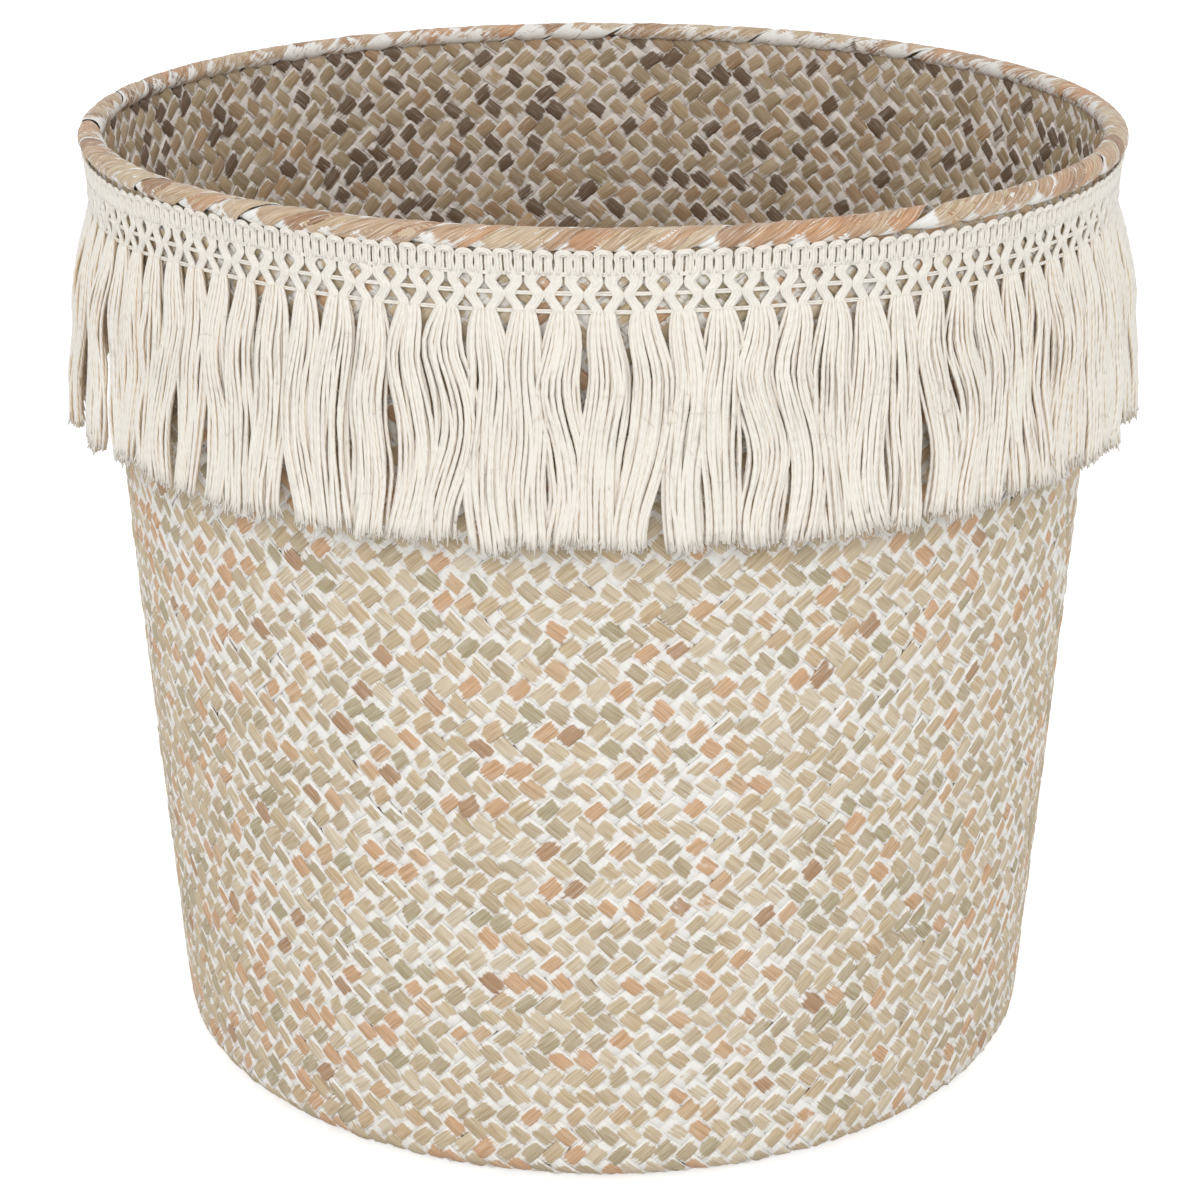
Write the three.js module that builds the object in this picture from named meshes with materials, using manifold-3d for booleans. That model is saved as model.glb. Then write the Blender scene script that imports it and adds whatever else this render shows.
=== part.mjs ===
// A round storage basket: a twill-plaited reed body, a rim bound over a hoop, and a knotted
// cotton fringe fixed on just below the rim.
// Millimetres, +Z up, with the origin at the middle of the underside and the front at -Y.
import * as THREE from "three";
import Module from "manifold-3d";

// Sizes of the plaited body
const BASE_RADIUS = 130.2; // outside, at the top of the turn from base to wall
const TURN_RADIUS = 9; // outside of the turn
const PLAIT_THICKNESS = 2.6; // two crossing strands
const WALL_BELLY = 0.8; // how far the wall bows out at half its height
const RIB_PITCH = 18.2; // along the wall, from one rib of the plait to the next
const RIB_DEPTH = 0.8; // from a rib down to the grooves beside it
const ROW_HEIGHT = 22; // of a row of ribs, which leans over by one rib

// Sizes of the rim
const RIM_RADIUS = 150; // outermost reach of the binding
const RIM_HEIGHT = 275; // middle of the rim roll above the floor
const ROLL_OVERHANG = 0.6; // how far the roll sits outside the middle of the wall
const HOOP_DIAMETER = 2.2;
const BINDING_THICKNESS = 1;
const BINDING_GRIP = 0.4; // how far the binding reaches past each face of the wall
const BINDING_RIDGE = 0.4; // how far each turn stands above the groove beside it
const BINDING_PITCH = 11; // from one turn to the next
const BINDING_SLANT = 15; // how far a turn runs along the rim while it goes round the roll

// Sizes of the fringe
const TASSEL_PITCH = 9.8; // along the wall, from one tassel to the next
const TASSEL_GROUPS = 47; // nodes that share out the tassels
const HEADING_HEIGHT = 5;
const HEADING_THICKNESS = 1.8;
const KNOT_SPACING = 4.8; // from the heading to the first row of knots, and on to the second
const NET_THICKNESS = 1.5;
const THREAD_HEIGHT = 1.1; // the double thread that runs through a row of knots
const THREAD_DEPTH = 2;
const KNOT_HEIGHT = 2.2; // the yarn that crosses at a knot
const EYE_MARGIN = 0.5; // yarn left between the heading and the eyes
const EYE_WIDTH = 3.2;
const GAP_WIDTH = 3.3; // the three-cornered gaps between the legs
const NECK_WIDTH = 4.4; // of a tassel
const NECK_THICKNESS = 1.6;
const TASSEL_LENGTH = 60;
const TASSEL_SPREAD = 18; // length over which a tassel opens to its full width
const TASSEL_THICKNESS = 7; // at its cut end
const TASSEL_FLARE = 2.4; // how far its cut end stands out past its neck
const TASSEL_CLEARANCE = 0.6; // from one tassel to the next

const SEAT_GAP = 0.3; // between pieces that touch on the real basket
const RING_STEPS = 64; // facets round the base and the hoop
const HOOP_SIDES = 5;
const CORNER_REACH = 1.45; // the corners of the binding's hollow, over its flats

// Places worked out from the sizes
const hoopRoom = (HOOP_DIAMETER / 2 + SEAT_GAP) * CORNER_REACH;
const wallRoom = ROLL_OVERHANG + PLAIT_THICKNESS / 2 + SEAT_GAP + BINDING_GRIP;
const hollowAcross = Math.max(hoopRoom, wallRoom);
const rollAcross = hollowAcross + BINDING_THICKNESS;
const rollUp = hoopRoom + BINDING_THICKNESS;
const rollRadius = RIM_RADIUS - rollAcross;
const wallTopRadius = rollRadius - ROLL_OVERHANG + PLAIT_THICKNESS / 2;
const wallTop = RIM_HEIGHT - HOOP_DIAMETER / 2 - SEAT_GAP;
const turnCentre = BASE_RADIUS - TURN_RADIUS;
const headingTop = RIM_HEIGHT - rollUp - SEAT_GAP;
const headingBottom = headingTop - HEADING_HEIGHT;
const netTop = headingBottom - SEAT_GAP;
const upperKnots = headingBottom - KNOT_SPACING;
const lowerKnots = upperKnots - KNOT_SPACING;
const threadTop = lowerKnots + THREAD_HEIGHT / 2;
const netBottom = threadTop + SEAT_GAP;
const columns = Math.round((2 * Math.PI * outerWall(threadTop)) / TASSEL_PITCH);
const columnAngle = (2 * Math.PI) / columns;

const reed = { color: 0xc8b487, roughness: 0.75, metalness: 0 };
const paleReed = { color: 0xd6c9a8, roughness: 0.8, metalness: 0 };
const boundReed = { color: 0xcfa873, roughness: 0.6, metalness: 0 };
const cane = { color: 0xa88655, roughness: 0.7, metalness: 0 };
const cotton = { color: 0xf0ece2, roughness: 0.95, metalness: 0 };
const yarn = { color: 0xf3efe6, roughness: 1, metalness: 0 };

// Outside radius of the wall at a height: a straight flare with a slight bow.
function outerWall(height) {
  const share = (height - TURN_RADIUS) / (wallTop - TURN_RADIUS);
  const flare = BASE_RADIUS + (wallTopRadius - BASE_RADIUS) * share;
  return flare + WALL_BELLY * 4 * share * (1 - share);
}

// A point at an angle from the front, counted towards +X.
function polar(radius, angle, height) {
  return new THREE.Vector3(radius * Math.sin(angle), -radius * Math.cos(angle), height);
}

// A profile of [radius, height] pairs turned about the Z axis.
function turned(profile, steps) {
  const points = profile.map(([radius, height]) => new THREE.Vector2(radius, height));
  return new THREE.LatheGeometry(points, steps).rotateX(Math.PI / 2);
}

function indexed(points, triangles) {
  const geometry = new THREE.BufferGeometry().setFromPoints(points);
  geometry.setIndex(triangles);
  geometry.computeVertexNormals();
  return geometry;
}

// Rings of points joined in order, either back to the first ring or with flat ends.
function lofted(rings, closed) {
  const size = rings[0].length;
  const joints = closed ? rings.length : rings.length - 1;
  const triangles = [];
  for (let ring = 0; ring < joints; ring += 1) {
    const here = ring * size;
    const there = ((ring + 1) % rings.length) * size;
    for (let i = 0; i < size; i += 1) {
      const next = (i + 1) % size;
      triangles.push(here + i, there + next, here + next);
      triangles.push(here + i, there + i, there + next);
    }
  }
  if (!closed) {
    const last = (rings.length - 1) * size;
    for (let i = 1; i < size - 1; i += 1) {
      triangles.push(0, i, i + 1);
      triangles.push(last, last + i + 1, last + i);
    }
  }
  return indexed(rings.flat(), triangles);
}

// Points on an ellipse from one angle to another, both included.
function ellipseArc(across, up, from, to, count) {
  return Array.from({ length: count }, (unused, i) => {
    const angle = from + ((to - from) * i) / (count - 1);
    return [across * Math.cos(angle), up * Math.sin(angle)];
  });
}

function base() {
  const radius = turnCentre - SEAT_GAP;
  return turned([[0, 0], [radius, 0], [radius, PLAIT_THICKNESS], [0, PLAIT_THICKNESS]], RING_STEPS);
}

// The plait stands out as ribs on the bias, in rows that lean one way and the other in turn. Each
// ring is the edge of a row, with a rib at every even point and a groove at every odd one.
function wall() {
  const turnSteps = 3;
  const insideSteps = 2;
  const rise = wallTop - TURN_RADIUS;
  const ribs = Math.round((2 * Math.PI * outerWall(TURN_RADIUS + rise / 2)) / RIB_PITCH);
  const rows = 2 * Math.round(rise / ROW_HEIGHT / 2);
  const ring = (radius, height, depth = 0, lean = 0) => {
    return Array.from({ length: 2 * ribs }, (unused, i) => {
      return polar(radius - (i % 2 ? depth : 0), (Math.PI * (i + 2 * lean)) / ribs, height);
    });
  };
  const turn = (reach) => {
    const arc = ellipseArc(reach, reach, 0, -Math.PI / 2, turnSteps);
    return arc.map(([across, up]) => ring(turnCentre + across, TURN_RADIUS + up));
  };
  const outside = Array.from({ length: rows }, (unused, row) => {
    const height = wallTop - (rise * row) / rows;
    return ring(outerWall(height), height, row > 0 ? RIB_DEPTH : 0, row % 2);
  });
  const inside = Array.from({ length: insideSteps }, (unused, step) => {
    const height = TURN_RADIUS + (rise * (step + 1)) / insideSteps;
    return ring(outerWall(height) - PLAIT_THICKNESS, height);
  });
  const under = turn(TURN_RADIUS - PLAIT_THICKNESS).reverse();
  return lofted([...outside, ...turn(TURN_RADIUS), ...under, ...inside], true);
}

function hoop() {
  const radius = HOOP_DIAMETER / 2;
  const section = ellipseArc(radius, radius, 0, 2 * Math.PI, HOOP_SIDES + 1);
  const profile = section.map(([across, up]) => [rollRadius + across, RIM_HEIGHT + up]);
  return turned(profile, RING_STEPS);
}

// A C-shaped section that grips the hoop and the top of the wall, with one ridge to each turn.
// Each point is shifted along the rim by its share of the way round the section.
function binding() {
  const outerPoints = 6;
  const innerPoints = 4;
  const wallOuter = wallTopRadius + SEAT_GAP - rollRadius;
  const wallInner = wallTopRadius - PLAIT_THICKNESS - SEAT_GAP - rollRadius;
  const turns = Math.round((2 * Math.PI * rollRadius) / BINDING_PITCH);
  const arcOf = (across, up, count) => {
    const from = -Math.acos(wallOuter / across);
    const to = Math.PI + Math.acos(-wallInner / across);
    return ellipseArc(across, up, from, to, count);
  };
  const hollow = arcOf(hollowAcross, hoopRoom, innerPoints);
  const rings = Array.from({ length: 2 * turns }, (unused, ring) => {
    const depth = ring % 2 ? BINDING_RIDGE : 0;
    const surface = arcOf(rollAcross - depth, rollUp - depth, outerPoints);
    const angle = (Math.PI * ring) / turns;
    const place = ([across, up], i, arc) => {
      const shift = (BINDING_SLANT * i) / (arc.length - 1) / rollRadius;
      return polar(rollRadius + across, angle + shift, RIM_HEIGHT + up);
    };
    return [...surface.map(place), ...hollow.map(place).reverse()];
  });
  return lofted(rings, true);
}

function heading() {
  const profile = [
    [outerWall(headingBottom) + SEAT_GAP, headingBottom],
    [outerWall(headingBottom) + SEAT_GAP + HEADING_THICKNESS, headingBottom],
    [outerWall(headingTop) + SEAT_GAP + HEADING_THICKNESS, headingTop],
    [outerWall(headingTop) + SEAT_GAP, headingTop],
  ];
  return turned([...profile, profile[0]], columns);
}

// One column of the net as a flat outline in millimetres, x along the wall and y as height. An eye
// lies above the first knot, a three-cornered gap on each side of it below the upper thread, and
// a three-cornered notch under it that the lower thread closes.
function netColumn() {
  const half = (columnAngle * outerWall(netBottom)) / 2;
  const gapTop = upperKnots - THREAD_HEIGHT / 2;
  const right = [
    [half, netTop],
    [half, gapTop],
    [half - GAP_WIDTH / 2, gapTop],
    [half, netBottom + KNOT_HEIGHT / 4],
    [half, netBottom],
    [GAP_WIDTH / 2, netBottom],
  ];
  const left = right.map(([x, y]) => [-x, y]).reverse();
  const outline = [...right, [0, upperKnots - KNOT_HEIGHT / 2], ...left];
  const eyeTop = netTop - EYE_MARGIN;
  const eyeBottom = upperKnots + KNOT_HEIGHT / 2;
  const eyeMiddle = (eyeTop + eyeBottom) / 2;
  const eye = [[0, eyeTop], [EYE_WIDTH / 2, eyeMiddle], [0, eyeBottom], [-EYE_WIDTH / 2, eyeMiddle]];
  return { half, outline, eye };
}

// The net is its flat column repeated round the wall. The front and back of the sheet share the
// column's triangles, and each edge that only one triangle uses gets a wall through the sheet.
function net() {
  const { half, outline, eye } = netColumn();
  const cell = [...outline, ...eye];
  const asVectors = (list) => list.map(([x, y]) => new THREE.Vector2(x, y));
  const cellFaces = THREE.ShapeUtils.triangulateShape(asVectors(outline), [asVectors(eye)]);
  const own = cell.filter(([x]) => x < half);
  const indexOf = (column, [x, y]) => {
    const onRight = x === half;
    const match = own.findIndex((p) => p[0] === (onRight ? -half : x) && p[1] === y);
    return ((column + (onRight ? 1 : 0)) % columns) * own.length + match;
  };
  const sheet = [];
  const faces = [];
  const edges = new Map();
  for (let column = 0; column < columns; column += 1) {
    const middle = (column + 0.5) * columnAngle;
    sheet.push(...own.map(([x, y]) => [middle + ((x / half) * columnAngle) / 2, y]));
    faces.push(...cellFaces.map((face) => face.map((i) => indexOf(column, cell[i]))));
  }
  for (const [a, b, c] of faces) {
    edges.set(`${a} ${b}`, [a, b]);
    edges.set(`${b} ${c}`, [b, c]);
    edges.set(`${c} ${a}`, [c, a]);
  }
  const behind = sheet.length;
  const triangles = [];
  for (const [a, b, c] of faces) {
    triangles.push(a, b, c);
    triangles.push(behind + a, behind + c, behind + b);
  }
  for (const [from, to] of edges.values()) {
    if (!edges.has(`${to} ${from}`)) {
      triangles.push(from, behind + from, behind + to);
      triangles.push(from, behind + to, to);
    }
  }
  const layer = (depth) => sheet.map(([angle, y]) => polar(outerWall(y) + SEAT_GAP + depth, angle, y));
  return indexed([...layer(NET_THICKNESS), ...layer(0)], triangles);
}

// A tassel hangs plumb from its neck and stands out a little towards its cut end, or lies against
// the wall where the wall reaches further out.
function tassel(angle) {
  const width = columnAngle * outerWall(threadTop) - TASSEL_CLEARANCE;
  const neckRadius = outerWall(threadTop) + SEAT_GAP + THREAD_DEPTH / 2;
  const depths = [THREAD_HEIGHT / 2, TASSEL_SPREAD, TASSEL_LENGTH];
  const rings = depths.map((depth) => {
    const height = threadTop - depth;
    const down = depth / TASSEL_LENGTH;
    const across = (depth < TASSEL_SPREAD ? NECK_WIDTH : width) / 2;
    const deep = (NECK_THICKNESS + (TASSEL_THICKNESS - NECK_THICKNESS) * down) / 2;
    const onWall = outerWall(height) + SEAT_GAP + deep;
    const radius = Math.max(neckRadius + TASSEL_FLARE * down, onWall);
    const corners = [[-1, 0], [-0.5, 1], [0.5, 1], [1, 0], [0.5, -1], [-0.5, -1]];
    return corners.map(([x, y]) => {
      return polar(radius + y * deep, angle + (x * across) / radius, height);
    });
  });
  return lofted(rings, false);
}

// The slice of the lower double thread that a group of tassels hangs on.
function threadSlice(first, last) {
  const slack = SEAT_GAP / 2 / outerWall(threadTop);
  const start = (first - 0.5) * columnAngle + slack;
  const end = (last + 0.5) * columnAngle - slack;
  const middles = Array.from({ length: last - first + 1 }, (unused, i) => (first + i) * columnAngle);
  const rings = [start, ...middles, end].map((angle) => {
    const inner = outerWall(threadTop) + SEAT_GAP;
    const outer = inner + THREAD_DEPTH;
    const bottom = threadTop - THREAD_HEIGHT;
    const corners = [[inner, bottom], [outer, bottom], [outer, threadTop], [inner, threadTop]];
    return corners.map(([radius, height]) => polar(radius, angle, height));
  });
  return lofted(rings, false);
}

const wasm = await Module();
wasm.setup();

function asManifold(geometry) {
  const vertProperties = new Float32Array(geometry.getAttribute("position").array);
  const triVerts = new Uint32Array(geometry.getIndex().array);
  return new wasm.Manifold(new wasm.Mesh({ numProp: 3, vertProperties, triVerts }));
}

function joined(geometries) {
  const mesh = geometries.map(asManifold).reduce((whole, piece) => whole.add(piece)).getMesh();
  const geometry = new THREE.BufferGeometry();
  geometry.setAttribute("position", new THREE.BufferAttribute(mesh.vertProperties, 3));
  geometry.setIndex(new THREE.BufferAttribute(mesh.triVerts, 1));
  geometry.computeVertexNormals();
  return geometry;
}

function tasselGroup(group) {
  const first = Math.round((group * columns) / TASSEL_GROUPS);
  const last = Math.round(((group + 1) * columns) / TASSEL_GROUPS) - 1;
  const own = Array.from({ length: last - first + 1 }, (unused, i) => first + i);
  return joined([threadSlice(first, last), ...own.map((column) => tassel(column * columnAngle))]);
}

const basket = new THREE.Group();

function add(name, geometry, finish) {
  const mesh = new THREE.Mesh(geometry, new THREE.MeshStandardMaterial(finish));
  mesh.name = name;
  basket.add(mesh);
}

add("plaited_base", base(), reed);
add("plaited_wall", wall(), paleReed);
add("rim_hoop", hoop(), cane);
add("rim_binding", binding(), boundReed);
add("fringe_heading", heading(), cotton);
add("fringe_net", net(), cotton);
for (let group = 0; group < TASSEL_GROUPS; group += 1) {
  add(`tassel_pair_${String(group + 1).padStart(2, "0")}`, tasselGroup(group), yarn);
}

export default basket;
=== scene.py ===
import math

import bpy
import numpy as np
from bpy.props import FloatProperty, FloatVectorProperty, IntProperty, PointerProperty
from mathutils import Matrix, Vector


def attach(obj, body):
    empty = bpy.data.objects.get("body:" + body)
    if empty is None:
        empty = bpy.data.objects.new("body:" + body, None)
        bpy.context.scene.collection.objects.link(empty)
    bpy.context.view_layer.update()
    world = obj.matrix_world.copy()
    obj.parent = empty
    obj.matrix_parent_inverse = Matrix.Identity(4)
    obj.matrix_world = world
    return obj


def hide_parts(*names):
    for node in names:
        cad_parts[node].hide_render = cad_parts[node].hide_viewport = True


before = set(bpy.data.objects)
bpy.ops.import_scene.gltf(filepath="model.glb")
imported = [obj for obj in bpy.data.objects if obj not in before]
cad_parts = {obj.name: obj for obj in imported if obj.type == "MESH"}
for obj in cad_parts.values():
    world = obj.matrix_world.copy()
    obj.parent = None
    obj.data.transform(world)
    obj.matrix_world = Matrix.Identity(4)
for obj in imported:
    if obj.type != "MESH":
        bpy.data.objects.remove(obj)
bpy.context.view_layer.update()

bl_info = {
    "name": "Reed basket with a knotted cotton fringe",
    "version": (1, 0, 0),
    "blender": (4, 5, 0),
    "location": "3D View > Sidebar > Basket",
    "description": "Plaits the basket strand by strand, binds its rim and hangs its fringe",
    "category": "Add Mesh",
}

MM = 0.001
TURN = 2 * math.pi
BODY = "root"
# Pieces that touch on the real basket keep this far apart
SEAT = 0.3 * MM
# The plait's underside stays this far above the floor
ABOVE_FLOOR = 0.02 * MM


# Sizes and colours that a user would change


def length(name, description, default):
    """A size in metres."""
    return FloatProperty(
        name=name,
        description=description,
        default=default,
        min=0.0,
        precision=5,
        subtype="DISTANCE",
        unit="LENGTH",
    )


def colour(name, description, red, green, blue):
    """A colour given as it shows on screen, 0 to 255, and kept as light."""
    shown = np.array([red, green, blue]) / 255
    light = np.where(shown <= 0.04045, shown / 12.92, ((shown + 0.055) / 1.055) ** 2.4)
    return FloatVectorProperty(
        name=name,
        description=description,
        default=tuple(float(value) for value in light),
        min=0.0,
        max=1.0,
        subtype="COLOR",
    )


class BasketPlait(bpy.types.PropertyGroup):
    """Sizes of the plaited body."""

    base_radius: length("Base radius", "Outside, at the top of the turn", 0.1302)
    turn_radius: length("Turn radius", "Outside of the turn from base to wall", 0.009)
    belly: length("Belly", "How far the wall bows out at half its height", 0.0008)
    thickness: length("Thickness", "Of two crossing strands", 0.0026)
    strand_width: length("Strand width", "Of one flat strand", 0.00505)
    strand_pitch: length("Strand pitch", "Across the strands, middle to middle", 0.0044)
    strand_thickness: length("Strand thickness", "Of one flat strand", 0.00125)
    strands: IntProperty(
        name="Strands", description="Strands that lean each way", default=129, min=16
    )


class BasketRim(bpy.types.PropertyGroup):
    """Sizes of the rim."""

    radius: length("Radius", "Outermost reach of the rim", 0.15)
    height: length("Height", "Middle of the rim roll above the floor", 0.275)
    hoop: length("Hoop", "Thickness of the hoop inside", 0.0022)
    roll_across: length("Half width", "Half the width of the roll", 0.0036)
    roll_up: length("Half height", "Half the height of the roll", 0.00303)
    overhang: length("Overhang", "Roll past the middle of the wall", 0.0006)
    wrap_width: length("Wrap width", "Of one wound strand", 0.0078)
    wrap_thickness: length("Wrap thickness", "Of one wound strand", 0.0005)
    wraps: IntProperty(
        name="Wraps", description="Strands wound round the rim", default=132, min=16
    )
    lean: FloatProperty(
        name="Lean",
        description="Of the wound strands from the rim's own line",
        default=math.radians(37),
        min=0.1,
        max=1.5,
        subtype="ANGLE",
        unit="ROTATION",
    )


class BasketFringe(bpy.types.PropertyGroup):
    """Sizes of the cotton fringe."""

    heading: length("Heading height", "Of the looped heading", 0.0052)
    knot_spacing: length("Knot spacing", "From one row of knots to the next", 0.0048)
    yarn: length("Yarn", "Thickness of a yarn", 0.00086)
    tassel: length("Tassel length", "From the lower knots to the cut ends", 0.060)
    flare: length("Flare", "How far the cut ends stand out", 0.0036)
    tassel_depth: length("Tassel depth", "Of a tassel, front to back", 0.0044)
    tassels: IntProperty(
        name="Tassels", description="Round the whole basket", default=94, min=8
    )
    tassel_yarns: IntProperty(
        name="Yarns", description="In one tassel", default=20, min=14
    )


class BasketColours(bpy.types.PropertyGroup):
    """Colours of the reed, the paint and the cotton."""

    reed_green: colour("Green reed", "Strands that dried green", 181, 171, 141)
    reed_olive: colour("Olive reed", "Strands between green and tan", 195, 179, 152)
    reed_tan: colour("Tan reed", "Most of the strands", 206, 187, 155)
    reed_cream: colour("Cream reed", "The palest strands", 219, 206, 183)
    reed_orange: colour("Orange reed", "Ripe strands", 212, 174, 139)
    reed_brown: colour("Brown reed", "Weathered strands", 182, 149, 119)
    # Dark floats of the inside: stained reed, made darker with painted shade
    reed_dark: colour("Dark reed", "Stained strands, inside", 102, 82, 66)
    rim_tan: colour("Tan binding", "Most of the binding", 199, 170, 141)
    rim_orange: colour("Orange binding", "Ripe strands of the binding", 204, 160, 123)
    rim_yellow: colour("Yellow binding", "The palest strands of the binding", 209, 190, 161)
    rim_brown: colour("Brown binding", "The darkest strands of the binding", 171, 137, 109)
    paint: colour("Whitewash", "Brushed paint left in the gaps", 241, 239, 235)
    inner_paint: colour("Inner whitewash", "Thinner paint on the inside", 230, 223, 216)
    cotton: colour("Cotton", "Yarn of the fringe", 243, 238, 229)
    # Painted warm shade for the yarn, between its plies and on its side towards the basket; it also
    # carries each yarn's tone
    cotton_painted_shade_and_tone: colour("Cotton shade", "Yarn between the plies", 220, 196, 160)
    cane: colour("Cane", "The hoop inside the rim", 168, 134, 85)
    ground: colour("Floor", "Floor under the basket", 222, 222, 222)


def measures():
    """The four groups of sizes and colours, from the scene."""
    scene = bpy.context.scene
    return scene.basket_plait, scene.basket_rim, scene.basket_fringe, scene.basket_colours


# Surfaces


def polar(radius, angle, height):
    """Radius, angle from the front towards +X and height to x, y, z in the last axis."""
    radius, angle, height = np.broadcast_arrays(radius, angle, height)
    return np.stack([radius * np.sin(angle), -radius * np.cos(angle), height], axis=-1)


def smooth(share):
    """0 to 1 with level ends: 3 t squared less 2 t cubed."""
    share = np.clip(share, 0, 1)
    return share * share * (3 - 2 * share)


class Wall:
    """The plait's outside as a turned surface, and its middle surface half a thickness inside.

    Height h on the straight part gives the radius: a straight flare from base to rim plus a
    parabola that bows out by the belly at half height. Below that, a quarter circle turns the
    surface under, and a short flat ring leads in to the base. Distance s runs along the middle
    surface from the rim down.
    """

    LEAD_IN = 2.5 * MM
    STRAIGHT_SAMPLES, TURN_SAMPLES, LEAD_SAMPLES = 400, 80, 20

    def __init__(self, plait, rim):
        self.plait = plait
        self.top_radius = rim.radius - rim.roll_across - rim.overhang + plait.thickness / 2
        self.top = rim.height - rim.hoop / 2 - SEAT
        self.turn_centre = plait.base_radius - plait.turn_radius
        heights = np.linspace(self.top, plait.turn_radius, self.STRAIGHT_SAMPLES)
        bend = np.linspace(0, math.pi / 2, self.TURN_SAMPLES)[1:]
        lead_in = np.linspace(0, self.LEAD_IN, self.LEAD_SAMPLES)[1:]
        radius = np.concatenate([
            self.outer(heights),
            self.turn_centre + plait.turn_radius * np.cos(bend),
            self.turn_centre - lead_in,
        ])
        height = np.concatenate([
            heights,
            plait.turn_radius * (1 - np.sin(bend)),
            0 * lead_in,
        ])
        along_r, along_z = np.gradient(radius), np.gradient(height)
        size = np.hypot(along_r, along_z)
        self.out_r, self.out_z = -along_z / size, along_r / size
        self.radius = radius - self.out_r * plait.thickness / 2
        self.height = height - self.out_z * plait.thickness / 2
        steps = np.hypot(np.diff(self.radius), np.diff(self.height))
        self.s = np.concatenate([[0], np.cumsum(steps)])

    def outer(self, height):
        """The outside's radius at a height on the straight part."""
        plait = self.plait
        share = (height - plait.turn_radius) / (self.top - plait.turn_radius)
        flare = plait.base_radius + (self.top_radius - plait.base_radius) * share
        return flare + plait.belly * 4 * share * (1 - share)

    def radius_at(self, s):
        """The middle surface's radius at a distance along it."""
        return np.interp(s, self.s, self.radius)

    def point(self, s, angle, out):
        """Distance along, angle from the front and height above the middle surface to x, y, z."""
        radius = self.radius_at(s) + out * np.interp(s, self.s, self.out_r)
        height = np.interp(s, self.s, self.height) + out * np.interp(s, self.s, self.out_z)
        return polar(radius, angle, height)


def wander(angle, s, seed, size):
    """Slow waves over the wall, the same for every strand: a sum of sines of angle and height.

    Each sine goes round a whole number of times, so it meets itself.
    """
    draw = np.random.default_rng(seed)
    waves, most_turns, most_rise = 7, 25, 150
    total = 0 * (angle + s)
    for _ in range(waves):
        turns = draw.integers(1, most_turns + 1)
        rise = draw.uniform(-most_rise, most_rise)
        total = total + np.sin(turns * angle + rise * s + draw.uniform(0, TURN))
    return size * total / math.sqrt(waves)


# Meshes


def tube_faces(tubes, rings, sides, closed):
    """Corner numbers of the quads of tubes that are stored one after another, ring by ring."""
    last = rings if closed else rings - 1
    tube = np.arange(tubes)[:, None, None] * rings * sides
    ring = np.arange(last)[:, None]
    side = np.arange(sides)
    after = (side + 1) % sides
    here, there = tube + ring * sides, tube + ((ring + 1) % rings) * sides
    return np.stack([here + side, here + after, there + after, there + side], -1).reshape(-1, 4)


def cap_faces(tubes, rings, sides):
    """Fans of triangles that close both ends of each tube."""
    first = np.arange(tubes)[:, None] * rings * sides
    last = first + (rings - 1) * sides
    fan = np.arange(1, sides - 1)
    start = np.stack(np.broadcast_arrays(first, first + fan + 1, first + fan), -1)
    end = np.stack(np.broadcast_arrays(last, last + fan, last + fan + 1), -1)
    return np.concatenate([start.reshape(-1, 3), end.reshape(-1, 3)])


def bake_places(tubes, rings, sides, closed, aspect):
    """A flat map for tubes: each tube is a long cell of a grid, its caps small fans at the ends.

    Along the tube is u and round it is v. The grid has as many columns as make it about square.
    Returns the places of the quads' corners and those of the caps' corners.
    """
    columns = max(1, round(math.sqrt(tubes / aspect)))
    rows = math.ceil(tubes / columns)
    number = np.arange(tubes)
    low = np.stack([(number % columns) / columns, (number // columns) / rows], -1)[:, None]
    cell = np.array([1 / columns, 1 / rows])
    last = rings if closed else rings - 1
    ring = np.arange(last)[:, None] / last
    side = np.arange(sides) / sides
    right, up = 1 / last, 1 / sides
    corners = [(ring, side), (ring, side + up), (ring + right, side + up), (ring + right, side)]
    grid = np.stack([np.stack(np.broadcast_arrays(*corner), -1) for corner in corners], -2)
    margin, room = np.array([0.03, 0.04]), np.array([0.94, 0.92])
    quads = (low + cell * (margin + grid.reshape(-1, 2) * room)).reshape(-1, 4, 2)
    if closed:
        return quads, np.empty((0, 3, 2))
    turn = TURN * np.arange(sides) / sides
    rim = np.stack([0.008 * np.cos(turn), 0.4 * np.sin(turn)], -1)
    near_middle, far_middle = np.array([0.014, 0.5]), np.array([0.986, 0.5])
    fan = np.arange(1, sides - 1)
    near = near_middle + rim[np.stack([0 * fan, fan + 1, fan], -1).reshape(-1)]
    far = far_middle + rim[np.stack([0 * fan, fan, fan + 1], -1).reshape(-1)]
    return quads, np.concatenate([(low + cell * cap).reshape(-1, 3, 2) for cap in (near, far)])


def signed_volume(points, quads):
    """Six times the enclosed volume, by the divergence theorem over each quad's two triangles."""
    a, b, c, d = (points[quads[:, corner]] for corner in range(4))
    return np.einsum("ij,ij->", a, np.cross(b, c) + np.cross(c, d))


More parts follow.
